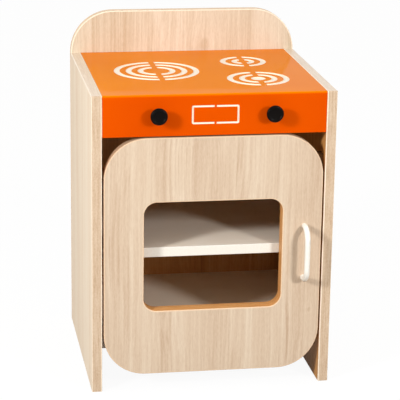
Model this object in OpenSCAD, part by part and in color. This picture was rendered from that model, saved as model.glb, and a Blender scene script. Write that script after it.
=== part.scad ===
// Toy oven: a board cabinet with a stencil-cut hob, two turning knobs and a windowed door.
// X runs to the right, Y runs from the front to the back and Z runs up from the floor.

/* [Cabinet] */
// Width over the side panels
cabinet_w = 430; // [400:1:460]
// Depth of the side panels, from front edge to back panel
side_d = 370; // [340:1:380]
// Height of the side panels
side_h = 540; // [530:1:560]
// Height of the back panel
back_h = 619; // [600:1:660]
// Radius of the back panel's top corners
back_r = 80; // [40:1:90]
// Thickness of every board
board_t = 18; // [16:0.5:19]
// Thickness of the edge bands
band_t = 2; // [1.5:0.1:2.5]
// Radius of the edge bands' arrises
arris = 1.2; // [0.5:0.1:1.4]
// Height of the underside of the oven floor
floor_z = 72; // [60:1:74]
// Height of the underside of the shelf
shelf_z = 240; // [200:1:300]
// Distance of the floor and shelf edges behind the cabinet's front
inner_setback = 26; // [26:0.5:27.5]

/* [Hob and fascia] */
// Thickness of the bent hob sheet
sheet_t = 1.5; // [1:0.1:2]
// Outer radius of the bend between hob and fascia
bend_r = 4; // [3:0.5:6]
// Height of the fascia
fascia_h = 73; // [70:1:80]
// Gap at each side of the sheet
sheet_gap = 0.5; // [0.3:0.1:1]
// Radial width of a burner slot
ring_w = 10.5; // [8:0.5:11]
// Step from one burner ring to the next
ring_step = 21.5; // [20:0.5:24]
// Outer radius of the large burner
large_r = 77.5; // [70:0.5:80]
// Outer radius of the middle burner
middle_r = 56; // [50:0.5:58]
// Outer radius of the small burner
small_r = 43; // [38:0.5:45]
// Radius of the middle burner's centre dot
dot_r = 13; // [8:0.5:14]
// Width of the bridge that crosses each burner
bridge_w = 10; // [6:0.5:12]
// Width of the clock outline
clock_w = 83; // [70:1:90]
// Height of the clock outline
clock_h = 33; // [28:1:36]
// Width of the clock outline's slot
clock_line = 3.3; // [2:0.1:4]

/* [Knobs] */
// Distance of each knob from the middle
knob_x = 101; // [90:1:120]
// Radius of a knob
knob_r = 15; // [12:0.5:16]
// Height of a knob
knob_h = 21.6; // [19:0.1:24]
// Radius of a knob's shoulder
knob_shoulder = 3.5; // [2:0.5:4]
// Gap between a knob and the fascia
knob_gap = 0.4; // [0.3:0.1:0.8]
// Radius of a knob spindle
spindle_r = 4; // [3.5:0.1:4.5]
// Radial running clearance of spindles and hinge pins
running = 0.05; // [0.02:0.01:0.08]

/* [Door] */
// Gap around the door
door_gap = 3; // [2.8:0.1:4]
// Height of the door's lower edge
door_z = 30; // [25:1:40]
// Radius of the door's corners
door_r = 75; // [60:1:80]
// Width of the window
window_w = 247; // [200:1:250]
// Height of the window
window_h = 200; // [160:1:210]
// Radius of the window's corners
window_r = 23; // [15:1:30]
// Thickness of the frame round the window, behind the door
frame_t = 7; // [5:0.5:7]
// Width of that frame
frame_w = 16; // [12:0.5:18]
// Height of the window's middle above the door's middle
window_rise = 1; // [-8:1:8]

/* [Handle] */
// Distance of the handle from the door's opening edge
handle_in = 31; // [25:1:36]
// Height of the handle's middle above the door's middle
handle_rise = 2; // [-8:1:8]
// Distance between the handle's feet
handle_span = 96; // [80:1:100]
// Distance that the handle stands out from the door
handle_out = 35; // [33:1:38]
// Radius of the handle bar
handle_r = 5; // [4:0.5:6]
// Centre-line radius of the handle's bends
handle_bend = 14; // [10:1:16]

/* [Hinges and catch] */
// Distance of each hinge's middle from the nearer end of the door
hinge_in = 90; // [88:1:100]
// Distance of the hinge pin from the door's hinge edge
pin_in_x = 13; // [12.5:0.1:13.2]
// Distance of the hinge pin behind the door's front face
pin_in_y = 8; // [7.8:0.1:8.2]
// Radius of the hinge pin
pin_r = 1.5; // [1.2:0.1:1.6]
// Radius of the hinge cup
cup_r = 17.5; // [17:0.1:17.5]
// Distance of the cup from the door's hinge edge
cup_edge = 3; // [3:0.1:3.2]
// Depth of the cup
cup_depth = 14.2; // [14.1:0.1:14.4]
// Distance of the magnetic catch's middle below the top of the door
catch_in = 64; // [62:1:80]

/* [Hidden] */
$fn = 96;
half_w = cabinet_w / 2;
inner_w = half_w - board_t;
depth = side_d + board_t;
mid_y = (depth - handle_out) / 2;
eps = 1;

// Back panel inside its edge band
core_w = cabinet_w - 2 * band_t;
core_h = back_h - band_t;
core_r = back_r - band_t;

// Hob, fascia and the boards behind them
sheet_w = 2 * (inner_w - sheet_gap);
sheet_d = side_d - sheet_gap;
fascia_z = side_h - fascia_h;
fascia_mid = side_h - fascia_h / 2;
top_z = side_h - sheet_t - board_t;
rail_back = sheet_t + board_t;
sheet_hole_gap = 0.6;
sheet_hole_r = spindle_r + sheet_hole_gap;
large_burner = [-76, 193];
middle_burner = [96, 112];
small_burner = [96, 260];
clock_r = 3;
clock_gap = 3.8;

// Knobs and their fittings
knob_rise = 2.5;
knob_z = fascia_mid + knob_rise;
knob_dish_r = 10.5;
knob_dish = 1.4;
dish_ball = (knob_dish_r * knob_dish_r + knob_dish * knob_dish) / (2 * knob_dish);
bore_depth = 15;
spindle_flat = spindle_r - 0.9;
bush_r = 6;
bush_flange_r = 9;
bush_flange_t = 1.5;
bush_back = rail_back + bush_flange_t;
end_play = 0.1;
washer_r = 8.5;
washer_t = 1.2;

// Door
door_w = 2 * (inner_w - door_gap);
door_h = fascia_z - door_gap - door_z;
door_mid = door_z + door_h / 2;
window_z = door_mid + window_rise;
handle_z = door_mid + handle_rise;
handle_x = door_w / 2 - handle_in;
handle_axis = handle_out - handle_r;
handle_straight = handle_axis - handle_bend;

// Hinge: a cup in the door turns on a pin held by a cranked arm on the side panel.
// Its own origin is the pin, level with the middle of the cup.
hinge_z = [door_z + hinge_in, door_z + door_h - hinge_in];
pin_x = pin_in_x - door_w / 2;
pin_half = 11;
pin_side = pin_in_x + door_gap;
cup_x = cup_edge + cup_r - pin_in_x;
cup_rear = board_t - pin_in_y;
cup_wall = 1;
cup_floor_t = 0.8;
cup_flange_r = 19;
cup_flange_t = 1.5;
cup_ear_r = 7;
cup_ear_x = cup_x + 6;
cup_ear_z = 24;
lug_x = 4;
lug_y = 3.2;
lug_z0 = 5.6;
eye_r = 2.9;
arm_t = 2.4;
arm_half = 5;
plate_t = 2;
plate_y = [20, 48];
plate_half = 22;
plate_screw_y = 34;
plate_screw_z = 16;
arm_wall_x = plate_t + arm_t / 2 - pin_side;
arm_route = [[0, 0], [15, 6], [20.5, 18.8], [arm_wall_x, 18.8], [arm_wall_x, 47]];

// Catch
catch_z = door_z + door_h - catch_in;
catch_size = [17, 18, 46];
magnet_size = [10, 10, 28];
magnet_x = inner_w - 12;
strike_size = [13, 1, 28];
strike_gap = 0.2;
strike_y = board_t + strike_size[1];
catch_y = strike_y + strike_gap;
catch_lip = 0.3;
catch_screw_y = 10.8;
catch_screw_z = 17.5;
catch_head_gap = 0.5;

// Screws are [shank radius, length, head radius, head height]
wood_screw = [2, 14, 3.8, 2.2];
cup_screw = [1.7, 11, 3.3, 1.8];
handle_screw = [2, 32, 4, 2.4];
spindle_screw = [2, 10, 4, 2.6];
back_screw = [2, 50, 4, 2.6];
strike_screw = [1.5, 9, 3, 1];
catch_screw = [1.5, 16, 3, 1.8];

// Dowels and shelf pins
dowel_r = 4;
dowel_in_side = 10;
dowel_in_board = 20;
board_dowel_y = [60, 190, 320];
rail_dowel_step = 24;
rail_dowel_z = [for (s = [-1, 1]) (fascia_z + top_z + s * rail_dowel_step) / 2];
shelf_gap = 0.5;
shelf_back_gap = 2;
shelf_pin_y = [60, 320];
shelf_pin_r = 2.5;
shelf_pin_in = 9;
spade = [14, 14, 2];
back_screw_top = 40;
back_screw_z = [60, 220, 380, side_h - back_screw_top];
back_screw_x = 80;

OAK = "#E7D3B6";
OAK_EDGE = "#DEC3A3";
WHITE = "#F2EDE3";
ORANGE = "#F35A0A";
STEEL = "#B9BCC0";
BLACK = "#18181A";

// Moves a piece from the cabinet's front plane to the part's own origin
module place() translate([0, -mid_y, 0]) children();

// Block between two corners
module block(a, b) translate(a) cube(b - a);

// Turns a shape drawn along Z so that it runs backwards, forwards or to one side
module backwards(p) translate(p) rotate([-90, 0, 0]) children();
module forwards(p) translate(p) rotate([90, 0, 0]) children();
module sideways(p, s) translate(p) rotate([0, s * 90, 0]) children();

// Outline in X and Z given thickness from y0 towards the back
module front_plate(y0, t) translate([0, y0 + t, 0]) rotate([90, 0, 0]) linear_extrude(t) children();

// Outline in Y and Z drawn out along X, centred
module long_profile(l) translate([-l / 2, 0, 0]) rotate([90, 0, 90]) linear_extrude(l) children();

module rounded(w, h, r) {
    square([w - 2 * r, h], center = true);
    square([w, h - 2 * r], center = true);
    for (x = [-1, 1], y = [-1, 1]) translate([x * (w / 2 - r), y * (h / 2 - r)]) circle(r);
}

// Rectangle from the floor with two round top corners
module arched(w, h, r) {
    translate([-w / 2, 0]) square([w, h - r]);
    translate([r - w / 2, 0]) square([w - 2 * r, h]);
    for (x = [-1, 1]) translate([x * (w / 2 - r), h - r]) circle(r);
}

// Rectangle with its front top corner round
module nosed(y0, z0, y1, z1, r) {
    translate([y0, z0]) square([y1 - y0, z1 - z0 - r]);
    translate([y0 + r, z0]) square([y1 - y0 - r, z1 - z0]);
    translate([y0 + r, z1 - r]) circle(r);
}

// Cross-section of an edge band: board side at x = 0, its two arrises rounded on the open side
module band_profile() intersection() {
    square([band_t, board_t]);
    union() {
        square([band_t - arris, board_t]);
        translate([0, arris]) square([band_t, board_t - 2 * arris]);
        for (y = [arris, board_t - arris]) translate([band_t - arris, y]) circle(arris);
    }
}

// The same section turned so that its open side faces the axis that it is swept round
module inward_profile() translate([band_t, 0]) mirror([1, 0]) band_profile();

// Bands stand along Y in this frame, and fit a front_plate of the same outline once turned
module stand(y0) translate([0, y0 + board_t, 0]) rotate([90, 0, 0]) children();
module straight_band(p, turn, l) translate(p) rotate(turn) translate([0, l / 2, 0]) rotate([90, 0, 0])
    linear_extrude(l) children();
module corner_band(p, turn, r) translate(p) rotate(turn) rotate_extrude(angle = 90)
    translate([r, 0]) children();

// Closed loop of band whose board side follows a rounded rectangle
module band_loop(w, h, r, inward) {
    for (i = [0:3]) {
        long = i % 2 == 0 ? h : w;
        reach = (i % 2 == 0 ? w : h) / 2;
        turn = i * 90;
        corner = [[1, 1], [-1, 1], [-1, -1], [1, -1]][i];
        straight_band([cos(turn) * reach, sin(turn) * reach, 0], turn, long - 2 * r)
            if (inward) translate([-band_t, 0]) inward_profile(); else band_profile();
        corner_band([corner[0] * (w / 2 - r), corner[1] * (h / 2 - r), 0], turn, inward ? r - band_t : r)
            if (inward) inward_profile(); else band_profile();
    }
}

// Screw with a round head below z = 0 and its shank above
module pan_screw(s) {
    cylinder(h = s[1], r = s[0]);
    translate([0, 0, -s[3]]) difference() {
        cylinder(h = s[3], r = s[2]);
        cross_slot(s[2]);
    }
}

// Screw whose conical head starts flush at z = 0
module flat_screw(s) difference() {
    flat_seat(s);
    cross_slot(s[2]);
}

module flat_seat(s) {
    cylinder(h = s[1], r = s[0]);
    cylinder(h = s[3], r1 = s[2], r2 = s[0]);
}

module cross_slot(r) for (a = [0, 90]) rotate(a) translate([-r / 2, -r / 8, -eps])
    cube([r, r / 4, eps + r / 5]);

module back_screw_places() {
    for (x = [-1, 1], z = back_screw_z) forwards([x * (half_w - board_t / 2), depth, z]) children();
    for (x = [-1, 1], z = [floor_z + board_t / 2, top_z + board_t / 2])
        forwards([x * back_screw_x, depth, z]) children();
}

// Dowels between a board and both side panels, at each [y, z]
module dowels(places) for (s = [-1, 1], p = places)
    sideways([s * (inner_w - dowel_in_board), p[0], p[1]], s)
        cylinder(h = dowel_in_board + dowel_in_side, r = dowel_r);

module all_floor_dowels() dowels([for (y = board_dowel_y) [y, floor_z + board_t / 2]]);
module all_top_dowels() dowels([for (y = board_dowel_y) [y, top_z + board_t / 2]]);
module all_rail_dowels() dowels([for (z = rail_dowel_z) [sheet_t + board_t / 2, z]]);

module shelf_pin_places() for (s = [-1, 1], y = shelf_pin_y) translate([s * inner_w, y, shelf_z])
    rotate([0, 0, s > 0 ? 0 : 180]) children();

module hinge_at(i) translate([pin_x, pin_in_y, hinge_z[i]]) children();

module plate_screw_places(i) hinge_at(i) for (s = [-1, 1])
    sideways([plate_t - pin_side, plate_screw_y, s * plate_screw_z], -1) children();

module arm_screw_place(i) hinge_at(i)
    sideways([arm_wall_x + arm_t / 2, plate_screw_y, 0], -1) children();

module catch_screw_places() for (s = [-1, 1])
    sideways([inner_w - catch_size[0] / 2, catch_y + catch_screw_y, catch_z + s * catch_screw_z], 1)
        children();

// A side panel lies on the right; s = -1 mirrors it to the left
module side_panel(s) color(OAK) place() difference() {
    block([s > 0 ? inner_w : -half_w, band_t, 0], [s > 0 ? half_w : -inner_w, side_d, side_h - band_t]);
    all_floor_dowels();
    all_top_dowels();
    all_rail_dowels();
    back_screw_places() flat_seat(back_screw);
    shelf_pin_places() translate([0, 0, -shelf_pin_r]) rotate([0, 90, 0])
        cylinder(h = shelf_pin_in, r = shelf_pin_r);
    for (i = [0, 1]) {
        plate_screw_places(i) cylinder(h = wood_screw[1], r = wood_screw[0]);
        arm_screw_place(i) cylinder(h = wood_screw[1], r = wood_screw[0]);
    }
    catch_screw_places() cylinder(h = catch_screw[1], r = catch_screw[0]);
}

// Front band of a side panel, with its top end rounded over to meet the top band
module side_front_band(s) color(OAK_EDGE) place() intersection() {
    translate([s * (half_w - board_t / 2), band_t, 0]) rotate([0, 0, -90]) translate([0, -board_t / 2, 0])
        linear_extrude(side_h) band_profile();
    translate([s * (half_w - board_t / 2), 0, 0]) long_profile(board_t) nosed(0, 0, band_t, side_h, arris);
}

module side_top_band(s) color(OAK_EDGE) place()
    translate([s * (half_w - board_t / 2), side_d, side_h - band_t]) rotate([90, 0, 0])
        linear_extrude(side_d - band_t) translate([board_t / 2, 0]) rotate(90) band_profile();

module back_core() arched(core_w, core_h, core_r);

module back_panel() color(OAK) place() difference() {
    front_plate(side_d, board_t) back_core();
    back_screw_places() flat_seat(back_screw);
}

// One band up the left side, over the top and down the right side
module back_band() color(OAK_EDGE) place() stand(side_d) {
    for (s = [0, 1]) {
        straight_band([(1 - 2 * s) * core_w / 2, (core_h - core_r) / 2, 0], s * 180, core_h - core_r)
            band_profile();
        corner_band([(1 - 2 * s) * (core_w / 2 - core_r), core_h - core_r, 0], s * 90, core_r)
            band_profile();
    }
    straight_band([0, core_h, 0], 90, core_w - 2 * core_r) band_profile();
}

module oven_floor() color(WHITE) place() difference() {
    block([-inner_w, inner_setback + band_t, floor_z], [inner_w, side_d, floor_z + board_t]);
    all_floor_dowels();
    back_screw_places() flat_seat(back_screw);
}

// Front band of a level board, from its left end
module level_band(w, z) translate([w / 2, inner_setback + band_t, z]) rotate([90, 0, -90])
    linear_extrude(w) band_profile();

module oven_floor_band() color(WHITE) place() level_band(2 * inner_w, floor_z);

module shelf() color(WHITE) place() block([shelf_gap - inner_w, inner_setback + band_t, shelf_z],
    [inner_w - shelf_gap, side_d - shelf_back_gap, shelf_z + board_t]);

module shelf_band() color(WHITE) place() level_band(2 * (inner_w - shelf_gap), shelf_z);

module shelf_pins() color(STEEL) place() shelf_pin_places() {
    block([-spade[0], -spade[1] / 2, -spade[2]], [0, spade[1] / 2, 0]);
    translate([-spade[0] / 2, 0, -shelf_pin_r]) rotate([0, 90, 0])
        cylinder(h = shelf_pin_in + spade[0] / 2, r = shelf_pin_r);
}

module top_board() color(WHITE) place() difference() {
    long_profile(2 * inner_w) nosed(sheet_t, top_z, side_d, side_h - sheet_t, bend_r - sheet_t);
    all_top_dowels();
    back_screw_places() flat_seat(back_screw);
}

module front_rail() color(WHITE) place() difference() {
    block([-inner_w, sheet_t, fascia_z], [inner_w, rail_back, top_z]);
    all_rail_dowels();
    for (s = [-1, 1]) backwards([s * knob_x, 0, knob_z]) cylinder(h = rail_back + eps, r = bush_r);
}

// Slots of one burner: rings from the outside in, cut by one straight bridge
module burner(p, r, rings, dot) translate(p) {
    difference() {
        for (i = [0:rings - 1]) difference() {
            circle(r - i * ring_step);
            circle(r - i * ring_step - ring_w);
        }
        translate([-bridge_w / 2, -r - eps]) square([bridge_w, 2 * (r + eps)]);
    }
    if (dot > 0) circle(dot);
}

module clock_outline() difference() {
    rounded(clock_w, clock_h, clock_r);
    square([clock_w - 2 * clock_line, clock_h - 2 * clock_line], center = true);
    square([clock_gap, clock_h + eps], center = true);
}

module hob_sheet() color(ORANGE) place() difference() {
    long_profile(sheet_w) difference() {
        nosed(0, fascia_z, sheet_d, side_h, bend_r);
        nosed(sheet_t, fascia_z - eps, sheet_d + eps, side_h - sheet_t, bend_r - sheet_t);
    }
    translate([0, 0, side_h - 2 * sheet_t]) linear_extrude(3 * sheet_t) {
        burner(large_burner, large_r, 3, 0);
        burner(middle_burner, middle_r, 2, dot_r);
        burner(small_burner, small_r, 2, 0);
    }
    translate([0, 0, fascia_mid]) front_plate(-sheet_t, 3 * sheet_t) clock_outline();
    for (s = [-1, 1]) forwards([s * knob_x, 2 * sheet_t, knob_z]) cylinder(h = 3 * sheet_t, r = sheet_hole_r);
}

module floor_dowels() color(OAK) place() all_floor_dowels();
module top_dowels() color(OAK) place() all_top_dowels();
module rail_dowels() color(OAK) place() all_rail_dowels();
module back_screws() color(STEEL) place() back_screw_places() flat_screw(back_screw);

module spindle_body(l, flat) difference() {
    cylinder(h = l, r = spindle_r);
    translate([spindle_flat, -spindle_r, -eps]) cube([spindle_r, 2 * spindle_r, flat + eps]);
}

// Black knob with a round shoulder and a dished face
module knob(s) color(BLACK) place() forwards([s * knob_x, -knob_gap, knob_z]) difference() {
    rotate_extrude() {
        square([knob_r, knob_h - knob_shoulder]);
        square([knob_r - knob_shoulder, knob_h]);
        translate([knob_r - knob_shoulder, knob_h - knob_shoulder]) intersection() {
            circle(knob_shoulder);
            square(knob_shoulder);
        }
    }
    translate([0, 0, knob_h + dish_ball - knob_dish]) sphere(dish_ball);
    translate([0, 0, bore_depth]) rotate([180, 0, 0]) spindle_body(bore_depth + eps, bore_depth + eps);
}

module knob_spindle(s) color(STEEL) place()
    backwards([s * knob_x, -knob_gap - bore_depth, knob_z]) difference() {
        spindle_body(knob_gap + bore_depth + bush_back + end_play, bore_depth);
        translate([0, 0, knob_gap + bore_depth + bush_back + end_play - spindle_screw[1]])
            cylinder(h = spindle_screw[1] + eps, r = spindle_screw[0]);
    }

module knob_bush(s) color(WHITE) place() backwards([s * knob_x, sheet_t, knob_z]) difference() {
    union() {
        cylinder(h = board_t, r = bush_r);
        translate([0, 0, board_t]) cylinder(h = bush_flange_t, r = bush_flange_r);
    }
    translate([0, 0, -eps]) cylinder(h = board_t + bush_flange_t + 2 * eps, r = spindle_r + running);
}

module knob_washer(s) color(STEEL) place()
    backwards([s * knob_x, bush_back + end_play, knob_z]) difference() {
        cylinder(h = washer_t, r = washer_r);
        translate([0, 0, -eps]) cylinder(h = washer_t + 2 * eps, r = spindle_screw[0]);
    }

module knob_screw(s) color(STEEL) place()
    forwards([s * knob_x, bush_back + end_play + washer_t, knob_z])
        pan_screw([spindle_screw[0], spindle_screw[1] + washer_t, spindle_screw[2], spindle_screw[3]]);

module door_face(grow) translate([0, door_mid]) rounded(door_w + grow, door_h + grow, door_r + grow / 2);
module window(grow) translate([0, window_z]) rounded(window_w + grow, window_h + grow, window_r + grow / 2);

module cup_bore(i) hinge_at(i) forwards([cup_x, cup_rear, 0]) cylinder(h = cup_depth, r = cup_r);

module cup_screw_places(i) hinge_at(i) for (s = [-1, 1])
    forwards([cup_ear_x, cup_rear + cup_flange_t, s * cup_ear_z]) children();

module handle_screw_places() for (s = [-1, 1])
    forwards([handle_x, board_t, handle_z + s * handle_span / 2]) children();

module strike_place() forwards([magnet_x, strike_y, catch_z]) children();

module door_panel() color(OAK) place() difference() {
    front_plate(0, board_t) difference() {
        door_face(-2 * band_t);
        window(2 * band_t);
    }
    for (i = [0, 1]) {
        cup_bore(i);
        cup_screw_places(i) cylinder(h = cup_screw[1], r = cup_screw[0]);
    }
    handle_screw_places() cylinder(h = handle_screw[1], r = handle_screw[0]);
    strike_place() flat_seat(strike_screw);
}

module door_band() color(OAK_EDGE) place() stand(0) translate([0, door_mid, 0])
    band_loop(door_w - 2 * band_t, door_h - 2 * band_t, door_r - band_t, false);

module window_frame() color(OAK_EDGE) place() front_plate(board_t, frame_t) difference() {
    window(2 * frame_w);
    window(0);
}

module window_band() color(OAK_EDGE) place() stand(0) translate([0, window_z, 0])
    band_loop(window_w + 2 * band_t, window_h + 2 * band_t, window_r + band_t, true);

// Half of the handle above its middle: a foot, a bend and half of the grip
module half_handle() {
    forwards([0, 0, handle_span / 2]) cylinder(h = handle_straight, r = handle_r);
    translate([0, -handle_straight, handle_span / 2 - handle_bend]) rotate([0, -90, 180])
        rotate_extrude(angle = 90) translate([handle_bend, 0]) circle(handle_r);
}

module handle() color(WHITE) place() difference() {
    translate([handle_x, 0, handle_z]) {
        half_handle();
        mirror([0, 0, 1]) half_handle();
        translate([0, -handle_axis, handle_bend - handle_span / 2])
            cylinder(h = handle_span - 2 * handle_bend, r = handle_r);
    }
    handle_screw_places() cylinder(h = handle_screw[1], r = handle_screw[0]);
}

module handle_screws() color(STEEL) place() handle_screw_places() pan_screw(handle_screw);

module cup_flange() {
    translate([cup_x, 0]) circle(cup_flange_r);
    translate([cup_ear_x - cup_ear_r, -cup_ear_z]) square([2 * cup_ear_r, 2 * cup_ear_z]);
    for (s = [-1, 1]) translate([cup_ear_x, s * cup_ear_z]) circle(cup_ear_r);
}

// Pressed cup with two lugs that hold the pin
module hinge_cup(i) color(STEEL) place() difference() {
    union() {
        hinge_at(i) difference() {
            union() {
                forwards([cup_x, cup_rear, 0]) cylinder(h = cup_depth, r = cup_r);
                front_plate(cup_rear, cup_flange_t) cup_flange();
            }
            forwards([cup_x, cup_rear + cup_flange_t + eps, 0])
                cylinder(h = cup_depth + cup_flange_t + eps - cup_floor_t, r = cup_r - cup_wall);
        }
        hinge_at(i) intersection() {
            forwards([cup_x, cup_rear, 0]) cylinder(h = cup_depth, r = cup_r - cup_wall / 2);
            for (s = [-1, 1]) translate([-lug_x, cup_rear - cup_depth, s > 0 ? lug_z0 : -lug_z0 - cup_r])
                cube([2 * lug_x, lug_y - cup_rear + cup_depth, cup_r]);
        }
    }
    hinge_at(i) translate([0, 0, -pin_half]) cylinder(h = 2 * pin_half, r = pin_r);
    cup_screw_places(i) translate([0, 0, -eps]) cylinder(h = cup_screw[1], r = cup_screw[0]);
}

module hinge_cup_screws(i) color(STEEL) place() cup_screw_places(i) pan_screw(cup_screw);

module hinge_pin(i) color(STEEL) place() hinge_at(i)
    translate([0, 0, -pin_half]) cylinder(h = 2 * pin_half, r = pin_r);

// Straight strip with round ends between two points
module strip(p, q) {
    translate(p) rotate(atan2(q[1] - p[1], q[0] - p[0])) translate([0, -arm_t / 2])
        square([norm(q - p), arm_t]);
    for (c = [p, q]) translate(c) circle(arm_t / 2);
}

// Cranked arm from the pin, round the door's edge to the side panel
module hinge_arm(i) color(STEEL) place() difference() {
    hinge_at(i) translate([0, 0, -arm_half]) linear_extrude(2 * arm_half) difference() {
        union() {
            circle(eye_r);
            for (k = [1:len(arm_route) - 1]) strip(arm_route[k - 1], arm_route[k]);
        }
        circle(pin_r + running);
    }
    arm_screw_place(i) translate([0, 0, -eps]) cylinder(h = wood_screw[1], r = wood_screw[0]);
}

module hinge_plate(i) color(STEEL) place() difference() {
    hinge_at(i) block([-pin_side, plate_y[0], -plate_half], [plate_t - pin_side, plate_y[1], plate_half]);
    plate_screw_places(i) translate([0, 0, -eps]) cylinder(h = wood_screw[1], r = wood_screw[0]);
    arm_screw_place(i) translate([0, 0, -eps]) cylinder(h = wood_screw[1], r = wood_screw[0]);
}

module hinge_plate_screws(i) color(STEEL) place() plate_screw_places(i) pan_screw(wood_screw);
module hinge_arm_screw(i) color(STEEL) place() arm_screw_place(i) pan_screw(wood_screw);

module magnet_shape() translate([magnet_x - magnet_size[0] / 2, catch_y, catch_z - magnet_size[2] / 2])
    cube(magnet_size);

module catch_body() color(WHITE) place() difference() {
    translate([inner_w - catch_size[0], catch_y + catch_lip, catch_z - catch_size[2] / 2]) cube(catch_size);
    magnet_shape();
    catch_screw_places() translate([0, 0, -eps]) cylinder(h = catch_screw[1], r = catch_screw[0]);
    catch_screw_places() translate([0, 0, -catch_size[0]])
        cylinder(h = catch_size[0], r = catch_screw[2] + catch_head_gap);
}

module catch_magnet() color(BLACK) place() magnet_shape();
module catch_screws() color(STEEL) place() catch_screw_places() pan_screw(catch_screw);

module strike_plate() color(STEEL) place() difference() {
    translate([magnet_x - strike_size[0] / 2, board_t, catch_z - strike_size[2] / 2]) cube(strike_size);
    strike_place() flat_seat(strike_screw);
}

module strike_screw_piece() color(STEEL) place() strike_place() flat_screw(strike_screw);

side_panel(-1);  // side_panel_left
side_panel(1);  // side_panel_right
side_front_band(-1);  // side_front_band_left
side_front_band(1);  // side_front_band_right
side_top_band(-1);  // side_top_band_left
side_top_band(1);  // side_top_band_right
back_panel();
back_band();
oven_floor();
oven_floor_band();
shelf();
shelf_band();
shelf_pins();
top_board();
front_rail();
hob_sheet();
floor_dowels();
top_dowels();
rail_dowels();
back_screws();
knob(-1);  // knob_left
knob(1);  // knob_right
knob_spindle(-1);  // knob_spindle_left
knob_spindle(1);  // knob_spindle_right
knob_bush(-1);  // knob_bush_left
knob_bush(1);  // knob_bush_right
knob_washer(-1);  // knob_washer_left
knob_washer(1);  // knob_washer_right
knob_screw(-1);  // knob_screw_left
knob_screw(1);  // knob_screw_right
door_panel();
door_band();
window_band();
window_frame();
handle();
handle_screws();
hinge_cup(0);  // hinge_cup_lower
hinge_cup(1);  // hinge_cup_upper
hinge_cup_screws(0);  // hinge_cup_screws_lower
hinge_cup_screws(1);  // hinge_cup_screws_upper
hinge_pin(0);  // hinge_pin_lower
hinge_pin(1);  // hinge_pin_upper
hinge_arm(0);  // hinge_arm_lower
hinge_arm(1);  // hinge_arm_upper
hinge_plate(0);  // hinge_plate_lower
hinge_plate(1);  // hinge_plate_upper
hinge_plate_screws(0);  // hinge_plate_screws_lower
hinge_plate_screws(1);  // hinge_plate_screws_upper
hinge_arm_screw(0);  // hinge_arm_screw_lower
hinge_arm_screw(1);  // hinge_arm_screw_upper
catch_body();
catch_magnet();
catch_screws();
strike_plate();
strike_screw_piece();  // strike_screw
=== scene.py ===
import math

import bmesh
import bpy
from mathutils import Matrix, Vector


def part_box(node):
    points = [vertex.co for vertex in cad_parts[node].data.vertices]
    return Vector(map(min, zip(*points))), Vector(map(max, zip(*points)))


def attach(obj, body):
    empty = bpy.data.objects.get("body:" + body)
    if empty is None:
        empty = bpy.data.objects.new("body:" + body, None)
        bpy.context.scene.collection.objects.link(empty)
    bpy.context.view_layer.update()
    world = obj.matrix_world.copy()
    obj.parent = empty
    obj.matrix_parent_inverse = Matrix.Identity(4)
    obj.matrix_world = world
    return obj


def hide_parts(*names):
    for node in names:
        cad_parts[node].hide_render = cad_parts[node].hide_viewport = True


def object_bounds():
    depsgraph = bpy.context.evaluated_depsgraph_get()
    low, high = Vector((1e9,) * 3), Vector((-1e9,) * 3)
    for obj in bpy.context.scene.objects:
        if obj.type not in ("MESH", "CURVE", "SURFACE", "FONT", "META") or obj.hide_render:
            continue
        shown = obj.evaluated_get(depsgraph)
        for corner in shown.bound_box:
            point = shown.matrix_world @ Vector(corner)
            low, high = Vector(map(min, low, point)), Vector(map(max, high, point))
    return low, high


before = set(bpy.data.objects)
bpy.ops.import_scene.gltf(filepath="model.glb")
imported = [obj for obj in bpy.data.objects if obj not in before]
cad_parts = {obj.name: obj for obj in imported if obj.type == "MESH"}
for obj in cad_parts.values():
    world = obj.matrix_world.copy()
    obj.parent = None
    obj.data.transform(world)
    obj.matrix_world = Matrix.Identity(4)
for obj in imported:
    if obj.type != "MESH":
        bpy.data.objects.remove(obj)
cad_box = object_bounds()
scene = bpy.context.scene
scene.view_settings.view_transform = "Standard"

# Camera: a long lens looks at the front from a little to its left and above the hob,
# about three metres away. No shift: the object sits where the photograph has it.
TURN_LEFT = math.radians(9.63)
LOOK_DOWN = math.radians(16.35)
ROLL = math.radians(-0.86)
CAMERA_PLACE = Vector((-0.5189, -3.0862, 1.2164))
look = Vector((math.sin(TURN_LEFT) * math.cos(LOOK_DOWN), math.cos(TURN_LEFT) * math.cos(LOOK_DOWN),
               -math.sin(LOOK_DOWN)))
level_right = look.cross(Vector((0, 0, 1))).normalized()
level_up = level_right.cross(look)
right = math.cos(ROLL) * level_right - math.sin(ROLL) * level_up
up = math.sin(ROLL) * level_right + math.cos(ROLL) * level_up
camera_data = bpy.data.cameras.new("studio_camera")
camera_data.sensor_width = 36
camera_data.lens = 158.63
camera = bpy.data.objects.new("studio_camera", camera_data)
camera.matrix_world = Matrix.Translation(CAMERA_PLACE) @ Matrix((right, up, -look)).transposed().to_4x4()
scene.collection.objects.link(camera)
scene.camera = camera


# Studio: a white paper sweep, two soft boxes and white walls all round. Paper is a matt white
# whose own fibres are too fine to see, so it shows nothing but the soft shadow of the cabinet.
def linear(hex_text):
    """Colour written as sRGB hex, as the linear colour that a shader takes."""
    parts = [int(hex_text[i:i + 2], 16) / 255 for i in (1, 3, 5)]
    return tuple(c / 12.92 if c <= 0.04045 else ((c + 0.055) / 1.055) ** 2.4 for c in parts) + (1.0,)


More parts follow.
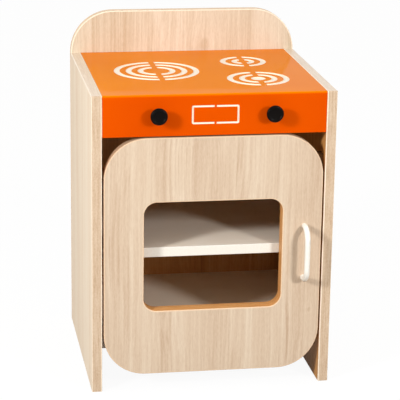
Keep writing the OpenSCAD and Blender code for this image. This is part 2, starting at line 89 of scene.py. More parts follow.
def add(tree, kind, inputs=None, out=0, stops=(), **settings):
    """Adds a node with its settings and colour stops, sets or links its inputs, and gives one output.
    A list of sockets links all of them to one input."""
    made = tree.nodes.new(kind)
    for name, value in settings.items():
        setattr(made, name, value)
    for number, (position, hex_text) in enumerate(stops):
        elements = made.color_ramp.elements
        element = elements[number] if number < 2 else elements.new(position)
        element.position, element.color = position, linear(hex_text)
    for name, value in (inputs or {}).items():
        sources = value if isinstance(value, list) else [value]
        if isinstance(sources[0], bpy.types.NodeSocket):
            for source in sources:
                tree.links.new(source, made.inputs[name])
        else:
            made.inputs[name].default_value = value
    return made.outputs[out] if made.outputs else made


def new_material(name):
    """An empty node material, with its tree."""
    material = bpy.data.materials.new(name)
    material.use_nodes = True
    material.node_tree.nodes.clear()
    return material, material.node_tree


def seen_white(tree):
    """1 for rays from the camera and in mirror or glass, which see the backdrop as plain white."""
    camera_ray, mirror_ray, glass_ray = (add(tree, "ShaderNodeLightPath", out=ray) for ray in (
        "Is Camera Ray", "Is Glossy Ray", "Is Transmission Ray"))
    either = add(tree, "ShaderNodeMath", {0: camera_ray, 1: mirror_ray}, operation="MAXIMUM")
    return add(tree, "ShaderNodeMath", {0: either, 1: glass_ray}, operation="MAXIMUM")


PAPER_GLOW = 0.94   # share of plain white in what the camera sees; the rest keeps the shadow
paper, tree = new_material("white_paper_sweep")
seen = seen_white(tree)
# the paper throws a dimmer light on the cabinet than it shows to the camera
tone = add(tree, "ShaderNodeMix", {0: seen, 6: linear("#97928B"), 7: linear("#FBFAF8")}, out=2,
           data_type="RGBA")
lit = add(tree, "ShaderNodeBsdfDiffuse", {"Color": tone})
glow = add(tree, "ShaderNodeEmission", {"Color": (1, 1, 1, 1), "Strength": 1.0})
share = add(tree, "ShaderNodeMath", {0: seen, 1: PAPER_GLOW}, operation="MULTIPLY")
mixed = add(tree, "ShaderNodeMixShader", {0: share, 1: lit, 2: glow})
add(tree, "ShaderNodeOutputMaterial", {"Surface": mixed})

SWEEP_REACH = 15   # metres from the middle to each side
sweep = bmesh.new()
for x, y in ((-1, -1), (1, -1), (1, 1), (-1, 1)):
    sweep.verts.new((x * SWEEP_REACH, y * SWEEP_REACH, 0))
sweep.faces.new(sweep.verts)
sweep_mesh = bpy.data.meshes.new("paper_floor")
sweep.to_mesh(sweep_mesh)
sweep.free()
sweep_mesh.materials.append(paper)
floor = bpy.data.objects.new("paper_floor", sweep_mesh)
scene.collection.objects.link(floor)

# The lit paper stands behind and beside the cabinet, a white ceiling hangs over it, and the room
# in front of it is dim.
DIM_ROOM = 0.06
LIT_PAPER = 0.72
CEILING = 0.80
world = bpy.data.worlds.new("studio_walls")
world.use_nodes = True
tree = world.node_tree
tree.nodes.clear()
toward = add(tree, "ShaderNodeTexCoord", out="Generated")
backward, upward = (add(tree, "ShaderNodeSeparateXYZ", {0: toward}, out=axis) for axis in "YZ")
around = add(tree, "ShaderNodeMapRange", {"Value": backward, "From Min": -0.4, "From Max": 0.4,
                                          "To Min": DIM_ROOM, "To Max": LIT_PAPER})
above = add(tree, "ShaderNodeMapRange", {"Value": upward, "From Min": 0.15, "From Max": 0.60,
                                         "To Min": 0.0, "To Max": CEILING})
brighter = add(tree, "ShaderNodeMath", {0: around, 1: above}, operation="MAXIMUM")
level = add(tree, "ShaderNodeMix", {0: seen_white(tree), 2: brighter, 3: 1.0}, data_type="FLOAT")
walls = add(tree, "ShaderNodeBackground", {"Color": (1, 1, 1, 1), "Strength": level})
add(tree, "ShaderNodeOutputWorld", {"Surface": walls})
scene.world = world


def soft_box(name, side, forward, height, power, size=0.34):
    """Square lamp, placed in metres from the middle of the cabinet's front, and aimed at that."""
    data = bpy.data.lights.new(name, "AREA")
    data.shape = "SQUARE"
    data.size = size
    data.energy = power
    lamp = bpy.data.objects.new(name, data)
    middle = Vector((0, cad_box[0][1] + 0.035, 0.27))
    lamp.location = middle + Vector((side, -forward, height))
    lamp.rotation_euler = (middle - lamp.location).to_track_quat("-Z", "Y").to_euler()
    scene.collection.objects.link(lamp)


soft_box("soft_box_right", 1.25, 1.97, 0.90, 33)
soft_box("soft_box_left", -1.86, 1.27, 1.07, 44)


# Boards: furniture chipboard faced with melamine paper that is printed with a pale limed oak.
# The paper gives straight upright grain, broad soft streaks and a dry sheen, and the sawn edges
# that no band covers show the pressed chips.
def grained(tree, size_mm, detail=2.0, roughness=0.5, shift=(0, 0, 0), place=None):
    """A pattern whose grains measure size_mm along X, Y and Z of the piece, or of another place."""
    sizes = size_mm if isinstance(size_mm, tuple) else (size_mm,) * 3
    place = add(tree, "ShaderNodeTexCoord", out="Object") if place is None else place
    scaled = add(tree, "ShaderNodeMapping", {"Vector": place, "Scale": tuple(1000 / s for s in sizes),
                                             "Location": shift})
    return add(tree, "ShaderNodeTexNoise", {"Vector": scaled, "Scale": 1.0, "Detail": detail,
                                            "Roughness": roughness})


def layered(tree, base, *layers):
    """base and each pattern times its weight, added up."""
    for pattern, weight in layers:
        base = add(tree, "ShaderNodeMath", {0: pattern, 1: weight, 2: base}, operation="MULTIPLY_ADD")
    return base


def facing(tree, axis):
    """How far the surface faces along X, Y or Z of the piece, from 0 to 1."""
    along = add(tree, "ShaderNodeSeparateXYZ", {0: add(tree, "ShaderNodeTexCoord", out="Normal")}, out=axis)
    return add(tree, "ShaderNodeMath", {0: along}, operation="ABSOLUTE")


def with_sawn_edges(tree, print_colour, faces):
    """The paper's colour on the two faces, and the pressed chips on the sawn edges between them."""
    chips = add(tree, "ShaderNodeValToRGB", {"Fac": grained(tree, 2.4, 3.0, 0.7)},
                stops=((0.35, "#8A6A48"), (0.5, "#B8946A"), (0.65, "#D9BC93")))
    sawn = add(tree, "ShaderNodeMath", {0: facing(tree, faces), 1: 0.5}, operation="LESS_THAN")
    return add(tree, "ShaderNodeMix", {0: sawn, 6: print_colour, 7: chips}, out=2, data_type="RGBA")


def surface(tree, colour, roughness, relief, relief_mm, specular=0.5, metallic=0.0):
    """Principled surface, raised by a relief between 0 and 1 that stands relief_mm high."""
    raised = add(tree, "ShaderNodeBump", {"Height": relief, "Strength": 1.0, "Distance": relief_mm / 1000})
    shader = add(tree, "ShaderNodeBsdfPrincipled", {
        "Base Color": colour, "Roughness": roughness, "Specular IOR Level": specular, "Metallic": metallic,
        "Normal": raised})
    add(tree, "ShaderNodeOutputMaterial", {"Surface": shader})


def limed_oak(name, faces, outside, inside, inner_side, shift, knots=(), inner_below=9.0, gloss=0.14):
    """Printed oak. outside and inside are (dark, mid, light); the inside shades are painted shade,
    darker and warmer, for the inner face. inner_side is the sign of the inner face along the axis
    faces, and inner_below the height in metres under which that face is the inner one and is shaded."""
    material, tree = new_material(name)
    place = add(tree, "ShaderNodeTexCoord", out="Object")
    # the print's grain wanders sideways by a few millimetres over a hand's length
    drift = grained(tree, (95, 95, 240), 1.5, shift=shift)
    sway = add(tree, "ShaderNodeMath", {0: drift, 1: 0.5}, operation="SUBTRACT")
    bend = add(tree, "ShaderNodeMath", {0: sway, 1: 0.020}, operation="MULTIPLY")
    hearts = []
    for knot_x, knot_z, reach in knots:
        # lines part round a knot: the print is pushed out sideways close to it, and its heart is dark
        away = add(tree, "ShaderNodeVectorMath", {0: place, 1: (knot_x, 0, knot_z)}, operation="SUBTRACT")
        side = add(tree, "ShaderNodeSeparateXYZ", {0: away}, out="X")
        away = add(tree, "ShaderNodeVectorMath", {0: away, 1: (1 / reach, 0, 0.7 / reach)},
                   operation="MULTIPLY")
        far = add(tree, "ShaderNodeVectorMath", {0: away}, out="Value", operation="LENGTH")
        near, heart = (add(tree, "ShaderNodeMapRange", {
            "Value": far, "From Min": first, "From Max": last, "To Min": 1.0, "To Max": 0.0},
            interpolation_type="SMOOTHSTEP") for first, last in ((0.0, 1.0), (0.10, 0.26)))
        push = add(tree, "ShaderNodeMath", {0: side, 1: near}, operation="MULTIPLY")
        bend = layered(tree, bend, (push, -0.42))
        hearts.append((heart, -0.14))
    offset = add(tree, "ShaderNodeCombineXYZ", {0: bend, 1: bend})
    wandering = add(tree, "ShaderNodeVectorMath", {0: place, 1: offset}, operation="ADD")

    def printed(size_mm, detail, roughness=0.5, more=0.0):
        """A pattern that follows the wandering grain."""
        return grained(tree, size_mm, detail, roughness, tuple(s + more for s in shift), wandering)

    broad = printed((38, 38, 1100), 2.0, 0.45)
    # annual rings, drawn about twice as wide as on real oak so that the picture can hold them
    rings = printed((5.0, 5.0, 620), 1.5, 0.55, 7.0)
    fine = printed((2.2, 2.2, 160), 2.0, 0.6, 5.0)
    pores = printed((1.2, 1.2, 9), 2.0, 0.6, 3.0)
    # the rings stand out in some hand-wide streaks and fade in others
    strong = printed((55, 55, 420), 1.0, 0.5, 11.0)
    weight = add(tree, "ShaderNodeMapRange", {"Value": strong, "From Min": 0.38, "From Max": 0.62,
                                              "To Min": 0.30, "To Max": 1.10})
    ringed = add(tree, "ShaderNodeMath", {0: rings, 1: 0.5}, operation="SUBTRACT")
    ringed = add(tree, "ShaderNodeMath", {0: ringed, 1: weight}, operation="MULTIPLY")
    tone = layered(tree, -0.09, (broad, 0.50), (ringed, 0.55), (fine, 0.34), (pores, 0.34), *hearts)
    outer, inner = (add(tree, "ShaderNodeValToRGB", {"Fac": tone}, stops=zip((0.26, 0.5, 0.74), shades))
                    for shades in (outside, inside))
    normal = add(tree, "ShaderNodeTexCoord", out="Normal")
    across = add(tree, "ShaderNodeSeparateXYZ", {0: normal}, out=faces)
    # painted shade: the inner face, below inner_below, takes the inside shades in place of the outside ones
    turned = add(tree, "ShaderNodeMath", {0: across, 1: 0.5 * inner_side},
                 operation="GREATER_THAN" if inner_side > 0 else "LESS_THAN")
    height = add(tree, "ShaderNodeSeparateXYZ", {0: place}, out="Z")
    low = add(tree, "ShaderNodeMath", {0: height, 1: inner_below}, operation="LESS_THAN")
    painted_shade_mask = add(tree, "ShaderNodeMath", {0: turned, 1: low}, operation="MULTIPLY")
    paper_with_painted_shade = add(tree, "ShaderNodeMix", {0: painted_shade_mask, 6: outer, 7: inner}, out=2, data_type="RGBA")
    dull = add(tree, "ShaderNodeMapRange", {"Value": pores, "To Min": 0.56, "To Max": 0.42})
    surface(tree, with_sawn_edges(tree, paper_with_painted_shade, faces), dull, pores, 0.05, specular=gloss)
    return material


def dress(material, *nodes):
    """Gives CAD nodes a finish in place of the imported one."""
    for name in nodes:
        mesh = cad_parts[name].data
        mesh.materials.clear()
        mesh.materials.append(material)


INSIDE_PAINTED_SHADE = ("#C78B54", "#DCA467", "#E9B880")   # painted shade: the inner faces inside the cabinet get a darker, warmer brown than the outside
SIDE_INSIDE_PAINTED_SHADE = ("#B0743A", "#C68B4B", "#D6A064")   # painted shade: darker and more orange still on the sides' inner faces beside the door
SIDE_SHADES = ("#DCC1A2", "#E6D1B6", "#ECDDC7")
dress(limed_oak("melamine_oak_side_left", "X", SIDE_SHADES, SIDE_INSIDE_PAINTED_SHADE, 1, (1.3, 0.4, 2.0)), "side_panel_left")
dress(limed_oak("melamine_oak_side_right", "X", SIDE_SHADES, SIDE_INSIDE_PAINTED_SHADE, -1, (5.1, 2.4, 7.0), gloss=0.03),
      "side_panel_right")
# painted shade: the front of the back panel takes the inside shades only below the hob, inside the cabinet,
# and keeps the paler outside shades above it
dress(limed_oak("melamine_oak_back", "Y", ("#C2AD90", "#D5C5AD", "#E6DAC6"), INSIDE_PAINTED_SHADE, -1, (2.9, 8.4, 4.0),
                knots=((0.042, 0.552, 0.045),), inner_below=0.53), "back_panel")


# Edge bands: strips of ABS two millimetres thick, printed like the boards and glued on with hot
# glue. They are milled flush and their arrises scraped round, which bares the paler plastic; that
# pale line on the arrises is also a painted highlight.
def printed_band(name, grain_mm, core_axis, shades, core_and_highlight, inner_arris=None, satin=0.42, gloss=0.16):
    """Band whose sides along core_axis show the paler core, partly the bared plastic and partly a
    painted highlight on the rounded arrises. inner_arris is the distance in metres of its inner
    edge from the cabinet's middle, where a pale line is painted wider as the highlight of that arris."""
    material, tree = new_material(name)
    grain = grained(tree, grain_mm, 3.0, 0.65)
    specks = grained(tree, (2.0, 2.0, 3.5), 2.0, 0.6)
    tone = layered(tree, -0.05, (grain, 0.7), (specks, 0.4))
    print_colour = add(tree, "ShaderNodeValToRGB", {"Fac": tone}, stops=zip((0.3, 0.5, 0.7), shades))
    # pale core where the band rounds off: bared plastic and a painted highlight
    bared_and_highlit = add(tree, "ShaderNodeMapRange", {"Value": facing(tree, core_axis), "From Min": 0.12,
                                            "From Max": 0.40})
    if inner_arris is not None:
        place = add(tree, "ShaderNodeTexCoord", out="Object")
        along = add(tree, "ShaderNodeSeparateXYZ", {0: place}, out="X")
        along = add(tree, "ShaderNodeMath", {0: along}, operation="ABSOLUTE")
        # painted highlight: a pale line along the inner arris
        rim = add(tree, "ShaderNodeMapRange", {
            "Value": along, "From Min": inner_arris + 0.0016, "From Max": inner_arris + 0.0022,
            "To Min": 1.0, "To Max": 0.0})
        bared_and_highlit = add(tree, "ShaderNodeMath", {0: bared_and_highlit, 1: rim}, operation="MAXIMUM")
    core_and_highlight_colour = add(tree, "ShaderNodeValToRGB", {"Fac": specks}, stops=zip((0.3, 0.7), core_and_highlight))
    colour = add(tree, "ShaderNodeMix", {0: bared_and_highlit, 6: print_colour, 7: core_and_highlight_colour}, out=2, data_type="RGBA")
    surface(tree, colour, satin, grain, 0.03, specular=gloss)
    return material


CORE_AND_PAINTED_HIGHLIGHT = ("#F2DFC6", "#FAEAD5")   # the plastic under the print, bared on the rounded arrises, where its pale line is also a painted highlight
INNER_FACE = 0.197              # of the side panels, in metres from the middle
dress(printed_band("abs_band_oak_front", (3.2, 30, 46), "X", ("#BC9E81", "#CEB498", "#DAC5AC"), CORE_AND_PAINTED_HIGHLIGHT,
                   INNER_FACE), "side_front_band_left", "side_front_band_right")
dress(printed_band("abs_band_oak_top", (3.2, 46, 30), "X", ("#CDB397", "#DFCAB1", "#EBD9C4"), CORE_AND_PAINTED_HIGHLIGHT,
                   INNER_FACE, satin=0.30, gloss=0.6), "side_top_band_left", "side_top_band_right")
dress(printed_band("abs_band_oak_back", (50, 3.2, 50), "Y", ("#D2AE88", "#E2C4A0", "#EED6B8"), CORE_AND_PAINTED_HIGHLIGHT),
      "back_band")


# Shelf, oven floor, hob board and rail: the same chipboard faced with plain white melamine,
# whose pearl embossing breaks the light only slightly. White ABS bands close their front edges.
def white_melamine(name, faces):
    """White paper on the two faces along the given axis."""
    material, tree = new_material(name)
    cloud = add(tree, "ShaderNodeValToRGB", {"Fac": grained(tree, 60)},
                stops=((0.3, "#F5E7D3"), (0.7, "#FAEEDD")))
    surface(tree, with_sawn_edges(tree, cloud, faces), 0.45, grained(tree, 1.6), 0.02)
    return material


def fine_skin(name, grain_mm, tones, dullness, relief_mm, detail=2.0, roughness=0.5, **gloss):
    """A finish whose tone, relief and, between two values, dullness follow one fine grain."""
    material, tree = new_material(name)
    grain = grained(tree, grain_mm, detail, roughness)
    colour = add(tree, "ShaderNodeValToRGB", {"Fac": grain}, stops=zip((0.3, 0.7), tones))
    if isinstance(dullness, tuple):
        least, most = dullness
        dullness = add(tree, "ShaderNodeMapRange", {"Value": grain, "To Min": least, "To Max": most})
    surface(tree, colour, dullness, grain, relief_mm, **gloss)
    return material


dress(white_melamine("melamine_white_level", "Z"), "oven_floor", "shelf", "top_board")
dress(white_melamine("melamine_white_rail", "Y"), "front_rail")
dress(fine_skin("abs_band_white", 2.0, ("#E9E3D7", "#EFEAE0"), 0.35, 0.02), "shelf_band", "oven_floor_band")

# Hob and fascia: one steel sheet one and a half millimetres thick, laser-cut with the burner rings
# and the clock outline, bent once along the front and powder-coated in orange. The coat flows out
# like enamel, with a trace of orange peel, and lies thin and pale on the cut edges.
BEND_BELOW, BEND_ABOVE = 0.5340, 0.5384   # heights in metres between which the sheet is bent
coat, tree = new_material("gloss_powder_coat_orange")
cloud = grained(tree, 140, 1.0)
# painted light: the level top gets a lighter, yellower orange than the fascia, standing in for the
# reflection and the light from above that fall on the top
fascia_tone, top_tone_painted_light = (add(tree, "ShaderNodeValToRGB", {"Fac": cloud}, stops=zip((0.3, 0.7), tones))
                           for tones in (("#D64A00", "#DC5000"), ("#E67C00", "#EB8400")))
lying, upright = facing(tree, "Z"), facing(tree, "Y")
place = add(tree, "ShaderNodeTexCoord", out="Object")
height = add(tree, "ShaderNodeSeparateXYZ", {0: place}, out="Z")
on_fascia = add(tree, "ShaderNodeMath", {0: height, 1: BEND_BELOW}, operation="LESS_THAN")
on_hob = add(tree, "ShaderNodeMath", {0: height, 1: BEND_ABOVE}, operation="GREATER_THAN")
# a cut edge faces neither out of the fascia nor, above the bend, out of the hob
cut_fascia, cut_hob = (add(tree, "ShaderNodeMath", {0: out_of_face, 1: 0.3}, operation="LESS_THAN")
                       for out_of_face in (upright, lying))
cut = layered(tree, 0.0, (cut_fascia, on_fascia), (cut_hob, on_hob))
# the top takes that painted-light tone and the fascia the coat's own orange
coat_with_painted_top_light = add(tree, "ShaderNodeMix", {0: lying, 6: fascia_tone, 7: top_tone_painted_light}, out=2, data_type="RGBA")
coat_with_painted_top_light = add(tree, "ShaderNodeMix", {0: cut, 6: coat_with_painted_top_light, 7: linear("#EBDDC8")}, out=2, data_type="RGBA")
surface(tree, coat_with_painted_top_light, 0.05, grained(tree, 6, 1.0), 0.004, specular=0.013)
dress(coat, "hob_sheet")


# Knobs: moulded black ABS, a raised rim round a sunk face, and a waist behind the grip. Each is a
# push fit on its spindle. The mould was polished, and handling has dulled it to satin.
def closed_mesh(name, form):
    """A mesh from a bmesh form, its doubles merged and its faces turned outwards."""
    bmesh.ops.remove_doubles(form, verts=form.verts, dist=1e-6)
    bmesh.ops.recalc_face_normals(form, faces=form.faces)
    mesh = bpy.data.meshes.new(name)
    form.to_mesh(mesh)
    form.free()
    return mesh


def fit(name, mesh, material, sharp_degrees, body, node):
    """Smooths a finished mesh up to its sharp edges and puts it on a body, in place of a CAD node."""
    mesh.shade_smooth()
    mesh.set_sharp_from_angle(angle=math.radians(sharp_degrees))
    mesh.materials.clear()
    mesh.materials.append(material)
    piece = bpy.data.objects.new(name, mesh)
    scene.collection.objects.link(piece)
    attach(piece, body)
    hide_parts(node)


black, tree = new_material("moulded_abs_black")
skin = grained(tree, 0.9)
worn = add(tree, "ShaderNodeMapRange", {"Value": grained(tree, 9), "To Min": 0.26, "To Max": 0.40})
dark = add(tree, "ShaderNodeValToRGB", {"Fac": skin}, stops=((0.3, "#080504"), (0.7, "#0D0907")))
surface(tree, dark, worn, skin, 0.01, specular=0.06)

# half section in mm from the middle of the face to the bore: (distance from axis, depth)
KNOB_SECTION = ((0, 1.3), (9.6, 1.3), (10.2, 1.15), (10.6, 0.8), (11.0, 0.35), (11.6, 0.05), (12.3, 0.0),
                (13.2, 0.25), (14.0, 0.8), (14.6, 1.6), (14.9, 2.5), (15.0, 3.4), (14.9, 5.0), (14.4, 6.4),
                (13.4, 8.0), (12.0, 9.8), (10.7, 11.8), (9.7, 14.2), (9.1, 17.0), (8.8, 20.0), (8.7, 21.2),
                (8.3, 21.6), (4.05, 21.6), (4.05, 10.0), (0, 10.0))
KNOB_STEPS = 72
for node in ("knob_left", "knob_right"):
    low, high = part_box(node)
    middle_x, middle_z = (low[0] + high[0]) / 2, (low[2] + high[2]) / 2
    form = bmesh.new()
    points = [form.verts.new((middle_x + radius / 1000, low[1] + depth / 1000, middle_z))
              for radius, depth in KNOB_SECTION]
    lines = [form.edges.new(pair) for pair in zip(points, points[1:])]
    bmesh.ops.spin(form, geom=points + lines, cent=(middle_x, 0, middle_z), axis=(0, 1, 0),
                   angle=2 * math.pi, steps=KNOB_STEPS)
    name = node.replace("knob", "knob_grip")
    fit(name, closed_mesh(name, form), black, 50, node, node)

# Door: a board like the others with its corners and its window milled round. The paper is a shade
# greyer outside, and its inner face takes the painted shade of the inside. A frame of the same
# board, thinned, stiffens the window from behind, and bands close the rim and the window. The frame
# and the window's band are painted darker and more orange, as painted shade in and behind the
# window, and the rim's band a little darker and warmer, as painted shade in the gaps round the door.
ROUND_THE_DOOR = (50, 3.2, 50)   # mm: the bands' grain runs along them, whichever way they turn
dress(limed_oak("melamine_oak_door", "Y", ("#C1A58B", "#D3BCA3", "#E0CEB7"), INSIDE_PAINTED_SHADE, 1, (7.7, 3.4, 1.0),
                knots=((0.176, 0.139, 0.016),)), "door_panel")
# painted shade: these shades are darker and warmer than those of the other bands
for node, finish, shades, core_and_highlight in (
        ("door_band", "abs_band_oak_door_painted_shade",
         ("#B88F6E", "#C8A585", "#D6B899"), ("#DCBD9C", "#E6CAAB")),
        ("window_band", "abs_band_oak_window_painted_shade",
         ("#C08044", "#D89B5C", "#E6B077"), ("#E2C4A2", "#ECD2B3")),
        ("window_frame", "oak_window_frame_painted_shade",
         ("#B87A40", "#CF9355", "#DEA76C"), ("#BC8F61", "#CBA274"))):
    dress(printed_band(finish, ROUND_THE_DOOR, "Y", shades, core_and_highlight), node)

# Handle: a bow of cast nylon in a warm white, gloss from the mould. Its round bar leaves the door
# straight and runs into the grip in a long bend. Two screws from behind hold its feet.
HANDLE_BAR = 0.005                    # radius of the bar, in metres
BEND_OUT, BEND_ALONG = 0.024, 0.022   # how far each bend reaches outwards and along the grip
BEND_STEPS = 16
nylon = fine_skin("moulded_nylon_white", 6, ("#F2EDE2", "#F7F3EA"), 0.25, 0.01)
low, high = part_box("handle")
middle_x, grip_y, upper_z = (low[0] + high[0]) / 2, low[1] + HANDLE_BAR, high[2] - HANDLE_BAR
route = [(high[1], upper_z)]
for step in range(BEND_STEPS + 1):
    angle = math.pi / 2 * step / BEND_STEPS
    route.append((grip_y + BEND_OUT * (1 - math.sin(angle)), upper_z - BEND_ALONG * (1 - math.cos(angle))))
route += [(y, low[2] + high[2] - z) for y, z in reversed(route)]
bow = bpy.data.curves.new("handle_bow", "CURVE")
bow.dimensions = "3D"
bow.bevel_depth = HANDLE_BAR
bow.bevel_resolution = 7
bow.use_fill_caps = True
line = bow.splines.new("POLY")
line.points.add(len(route) - 1)
for point, (y, z) in zip(line.points, route):
    point.co = (middle_x, y, z, 1)
shaper = bpy.data.objects.new("handle_path", bow)
scene.collection.objects.link(shaper)
form = bmesh.new()
form.from_mesh(bpy.data.meshes.new_from_object(shaper.evaluated_get(bpy.context.evaluated_depsgraph_get())))
bpy.data.objects.remove(shaper)
fit("handle_bow", closed_mesh("handle_bow", form), nylon, 50, "door", "handle")

# Dowels and shelf pins: fluted beech dowels glued between the boards and the sides, and turned
# steel pins that carry the shelf.
beech = fine_skin("turned_beech", (30, 1.0, 1.0), ("#C59A6B", "#DDB98C"), 0.6, 0.1, 3.0, 0.6)
zinc = fine_skin("zinc_plated_steel", 1.2, ("#B4B7BA", "#C6C8C9"), (0.28, 0.45), 0.01, 3.0, 0.6,
                 metallic=1.0)
dress(beech, "floor_dowels", "top_dowels", "rail_dowels")
dress(zinc, "shelf_pins")

# Screws: cold-headed steel with a rolled thread and a cross recess, zinc-plated. Those through the
# back have countersunk heads, and all the others round ones. The tree makes one screw, whose head
# stands on z = 0 or sinks below it, and puts one at each place.
PITCH = 1.1          # one turn of thread, in shank radii
TURN_STEPS = 4       # rows of points for each turn
FLUTE = 0.24         # depth of the thread, in shank radii
TIP = 2.2            # length of the point, in shank radii
ARM = (1.25, 0.26)   # length and width of each bar that cuts the recess, in head radii
screw = bpy.data.node_groups.new("cross_screw", "GeometryNodeTree")
screw.is_modifier = True
screw.interface.new_socket("Places", in_out="INPUT", socket_type="NodeSocketGeometry")
for title in ("Head Radius", "Head Height", "Sink", "Rim Radius", "Rim Height", "Foot Radius",
              "Shank Radius", "Length"):
    screw.interface.new_socket(title, in_out="INPUT", socket_type="NodeSocketFloat")
screw.interface.new_socket("Thread Rows", in_out="INPUT", socket_type="NodeSocketInt")
screw.interface.new_socket("Screws", in_out="OUTPUT", socket_type="NodeSocketGeometry")
given = screw.nodes.new("NodeGroupInput").outputs
place = add(screw, "GeometryNodeInputPosition")
across_x, across_y, height = (add(screw, "ShaderNodeSeparateXYZ", {0: place}, out=axis) for axis in "XYZ")

# the head is a cone from its foot to its rim, and a round one is crowned above the rim
head = add(screw, "GeometryNodeMeshCone", {
    "Vertices": 28, "Side Segments": 1, "Fill Segments": 4, "Radius Top": given["Rim Radius"],
    "Radius Bottom": given["Foot Radius"], "Depth": given["Rim Height"]}, fill_type="TRIANGLE_FAN")
level_place = add(screw, "ShaderNodeVectorMath", {0: place, 1: (1, 1, 0)}, operation="MULTIPLY")
off_axis = add(screw, "ShaderNodeVectorMath", {0: level_place}, out="Value", operation="LENGTH")
share = add(screw, "ShaderNodeMath", {0: off_axis, 1: given["Rim Radius"]}, operation="DIVIDE")
share = add(screw, "ShaderNodeMath", {0: share, 1: 2.0}, operation="POWER")
rise = add(screw, "ShaderNodeMath", {0: given["Head Height"], 1: given["Rim Height"]}, operation="SUBTRACT")
crown = add(screw, "ShaderNodeMapRange", {"Value": share, "To Min": rise, "To Max": 0.0})
near_rim = add(screw, "ShaderNodeMath", {0: given["Rim Height"], 1: 0.99}, operation="MULTIPLY")
on_top = add(screw, "ShaderNodeMath", {0: height, 1: near_rim}, operation="GREATER_THAN")
lift = add(screw, "ShaderNodeMath", {0: on_top, 1: crown}, operation="MULTIPLY")
lift = add(screw, "ShaderNodeMath", {0: lift, 1: given["Sink"]}, operation="SUBTRACT")
lifted = add(screw, "ShaderNodeCombineXYZ", {2: lift})
head = add(screw, "GeometryNodeSetPosition", {"Geometry": head, "Offset": lifted})

# the shank runs down from inside the head; its thread winds round it and it ends in a point
shank = add(screw, "GeometryNodeMeshCylinder", {
    "Vertices": 14, "Side Segments": given["Thread Rows"], "Fill Segments": 1,
    "Radius": given["Shank Radius"], "Depth": given["Length"]})
down = add(screw, "ShaderNodeMath", {0: given["Length"], 1: -0.5, 2: height}, operation="MULTIPLY_ADD")
angle = add(screw, "ShaderNodeMath", {0: across_y, 1: across_x}, operation="ARCTAN2")
turn = add(screw, "ShaderNodeMath", {0: angle, 1: 0.5 / math.pi, 2: 0.5}, operation="MULTIPLY_ADD")
pitch = add(screw, "ShaderNodeMath", {0: given["Shank Radius"], 1: -PITCH}, operation="MULTIPLY")
climb = add(screw, "ShaderNodeMath", {0: down, 1: pitch}, operation="DIVIDE")
wound = add(screw, "ShaderNodeMath", {0: turn, 1: climb}, operation="ADD")
crest = add(screw, "ShaderNodeMath", {0: wound, 1: 0.5}, operation="PINGPONG")
thread = add(screw, "ShaderNodeMath", {0: crest, 1: 2 * FLUTE, 2: 1 - FLUTE}, operation="MULTIPLY_ADD")
above_tip = add(screw, "ShaderNodeMath", {0: down, 1: given["Length"]}, operation="ADD")
tip_length = add(screw, "ShaderNodeMath", {0: given["Shank Radius"], 1: TIP}, operation="MULTIPLY")
pointed = add(screw, "ShaderNodeMapRange", {"Value": above_tip, "From Max": tip_length,
                                            "To Min": 0.1, "To Max": 1.0})
slim = add(screw, "ShaderNodeMath", {0: thread, 1: pointed}, operation="MULTIPLY")
threaded = add(screw, "ShaderNodeVectorMath", {
    0: place, 1: add(screw, "ShaderNodeCombineXYZ", {0: slim, 1: slim}),
    2: add(screw, "ShaderNodeCombineXYZ", {2: down})}, operation="MULTIPLY_ADD")
shank = add(screw, "GeometryNodeSetPosition", {"Geometry": shank, "Position": threaded})

# two crossed bars cut the recess into the top of the head
top = add(screw, "ShaderNodeMath", {0: given["Head Height"], 1: given["Sink"]}, operation="SUBTRACT")
arms = []
for factors in (ARM, ARM[::-1]):
    wide, deep = (add(screw, "ShaderNodeMath", {0: given["Head Radius"], 1: factor}, operation="MULTIPLY")
                  for factor in factors)
    size = add(screw, "ShaderNodeCombineXYZ", {0: wide, 1: deep, 2: given["Head Height"]})
    arms.append(add(screw, "GeometryNodeTransform", {
        "Geometry": add(screw, "GeometryNodeMeshCube", {"Size": size}),
        "Translation": add(screw, "ShaderNodeCombineXYZ", {2: top})}))
whole = add(screw, "GeometryNodeMeshBoolean", {"Mesh 2": [head, shank]}, operation="UNION", solver="EXACT")
cut = add(screw, "GeometryNodeMeshBoolean", {"Mesh 1": whole, "Mesh 2": arms}, operation="DIFFERENCE",
          solver="EXACT")
outward = add(screw, "GeometryNodeInputNamedAttribute", {"Name": "outward"}, out="Attribute",
              data_type="FLOAT_VECTOR")
turned = add(screw, "FunctionNodeAlignRotationToVector", {"Vector": outward}, axis="Z")
each = add(screw, "GeometryNodeInstanceOnPoints", {"Points": given["Places"], "Instance": cut,
                                                   "Rotation": turned})
real = add(screw, "GeometryNodeRealizeInstances", {0: each})
plated = add(screw, "GeometryNodeSetMaterial", {"Geometry": real, "Material": zinc})
add(screw, "NodeGroupOutput", {"Screws": plated})


def islands(name):
    """Boxes round the separate solids of a CAD node, as (lowest, highest) corners."""
    merged = bmesh.new()
    merged.from_mesh(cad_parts[name].data)
    bmesh.ops.remove_doubles(merged, verts=merged.verts, dist=1e-6)
    boxes, left = [], set(merged.verts)
    while left:
        front, found = [left.pop()], []
        while front:
            vertex = front.pop()
            found.append(vertex.co.copy())
            near = {edge.other_vert(vertex) for edge in vertex.link_edges} & left
            left -= near
            front += near
        boxes.append(tuple(Vector(f(v[i] for v in found) for i in range(3)) for f in (min, max)))
    merged.free()
    return sorted(boxes, key=lambda box: tuple(box[0]))


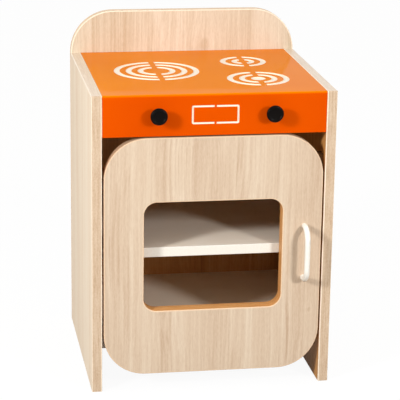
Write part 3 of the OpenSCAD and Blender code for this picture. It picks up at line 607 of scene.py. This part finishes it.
def drive(body, outward, shank_mm, head_mm, countersunk, *nodes):
    """Puts real screws in place of CAD ones whose heads look outward."""
    outward, shank, head = Vector(outward), shank_mm / 1000, head_mm / 1000
    above = 0 if countersunk else head
    for name in nodes:
        boxes = islands(name)
        half = (boxes[0][1] - boxes[0][0]) / 2
        reach, radius = abs(half.dot(outward)), next(h for h, o in zip(half, outward) if abs(o) < 0.5)
        spots = bpy.data.meshes.new(name + "_places")
        spots.from_pydata([(low + high) / 2 + outward * (reach - above) for low, high in boxes], [], [])
        facings = spots.attributes.new("outward", "FLOAT_VECTOR", "POINT")
        facings.data.foreach_set("vector", [*outward] * len(boxes))
        maker = bpy.data.objects.new(name + "_maker", spots)
        scene.collection.objects.link(maker)
        turning = maker.modifiers.new("cross_screw", "NODES")
        turning.node_group = screw
        length = 2 * reach - above
        sizes = {"Head Radius": radius, "Head Height": head, "Shank Radius": shank, "Length": length,
                 "Sink": head - above, "Thread Rows": math.ceil(length * TURN_STEPS / (shank * PITCH))}
        if countersunk:
            sizes |= {"Rim Radius": radius, "Rim Height": head, "Foot Radius": shank}
        else:
            sizes |= {"Rim Radius": 0.86 * radius, "Rim Height": 0.75 * head, "Foot Radius": radius}
        for item in screw.interface.items_tree:
            if item.name in sizes:
                turning[item.identifier] = sizes[item.name]
        made = bpy.data.meshes.new_from_object(maker.evaluated_get(bpy.context.evaluated_depsgraph_get()))
        maker.modifiers.remove(turning)
        bpy.data.objects.remove(maker)
        fit(name + "_cross", made, zinc, 35, body, name)


drive("cabinet", (0, 1, 0), 2.0, 2.6, True, "back_screws")
drive("cabinet", (1, 0, 0), 2.0, 2.2, False, "hinge_plate_screws_lower", "hinge_plate_screws_upper",
      "hinge_arm_screw_lower", "hinge_arm_screw_upper")
drive("cabinet", (-1, 0, 0), 1.5, 1.8, False, "catch_screws")
drive("knob_left", (0, 1, 0), 2.0, 2.6, False, "knob_screw_left")
drive("knob_right", (0, 1, 0), 2.0, 2.6, False, "knob_screw_right")
drive("door", (0, 1, 0), 2.0, 2.4, False, "handle_screws")
drive("door", (0, 1, 0), 1.7, 1.8, False, "hinge_cup_screws_lower", "hinge_cup_screws_upper")
drive("door", (0, 1, 0), 1.5, 1.0, True, "strike_screw")

# Hinges and knob works: concealed hinges of nickel-plated pressed steel with a bare pin, and
# turned spindles in nylon bushes behind the fascia.
plate = fine_skin("nickel_plated_steel", (0.6, 6, 6), ("#C9C6C0", "#C9C6C0"), (0.22, 0.38), 0.01, 2.0, 0.6,
                  metallic=1.0)
for end in ("lower", "upper"):
    dress(plate, "hinge_cup_" + end, "hinge_arm_" + end, "hinge_plate_" + end)
    dress(zinc, "hinge_pin_" + end)
bush = fine_skin("turned_nylon", 2.0, ("#E9E4D8", "#F0ECE2"), 0.5, 0.02)
for side in ("left", "right"):
    dress(zinc, "knob_spindle_" + side, "knob_washer_" + side)
    dress(bush, "knob_bush_" + side)

# Catch: a ferrite block in a moulded housing on the right side, and a steel strike on the door.
# The housing is ABS with a fine spark-eroded grain, coloured dark brown as painted shade to match
# the shade in the corner behind the door.
dress(fine_skin("abs_housing_painted_shade", 0.7, ("#74522F", "#82603B"), 0.55, 0.02, 2.0, 0.6, specular=0.2),
      "catch_body")
dress(fine_skin("pressed_ferrite", 0.8, ("#2B2A2A", "#3A3938"), 0.6, 0.05, 3.0, 0.7), "catch_magnet")
dress(zinc, "strike_plate")
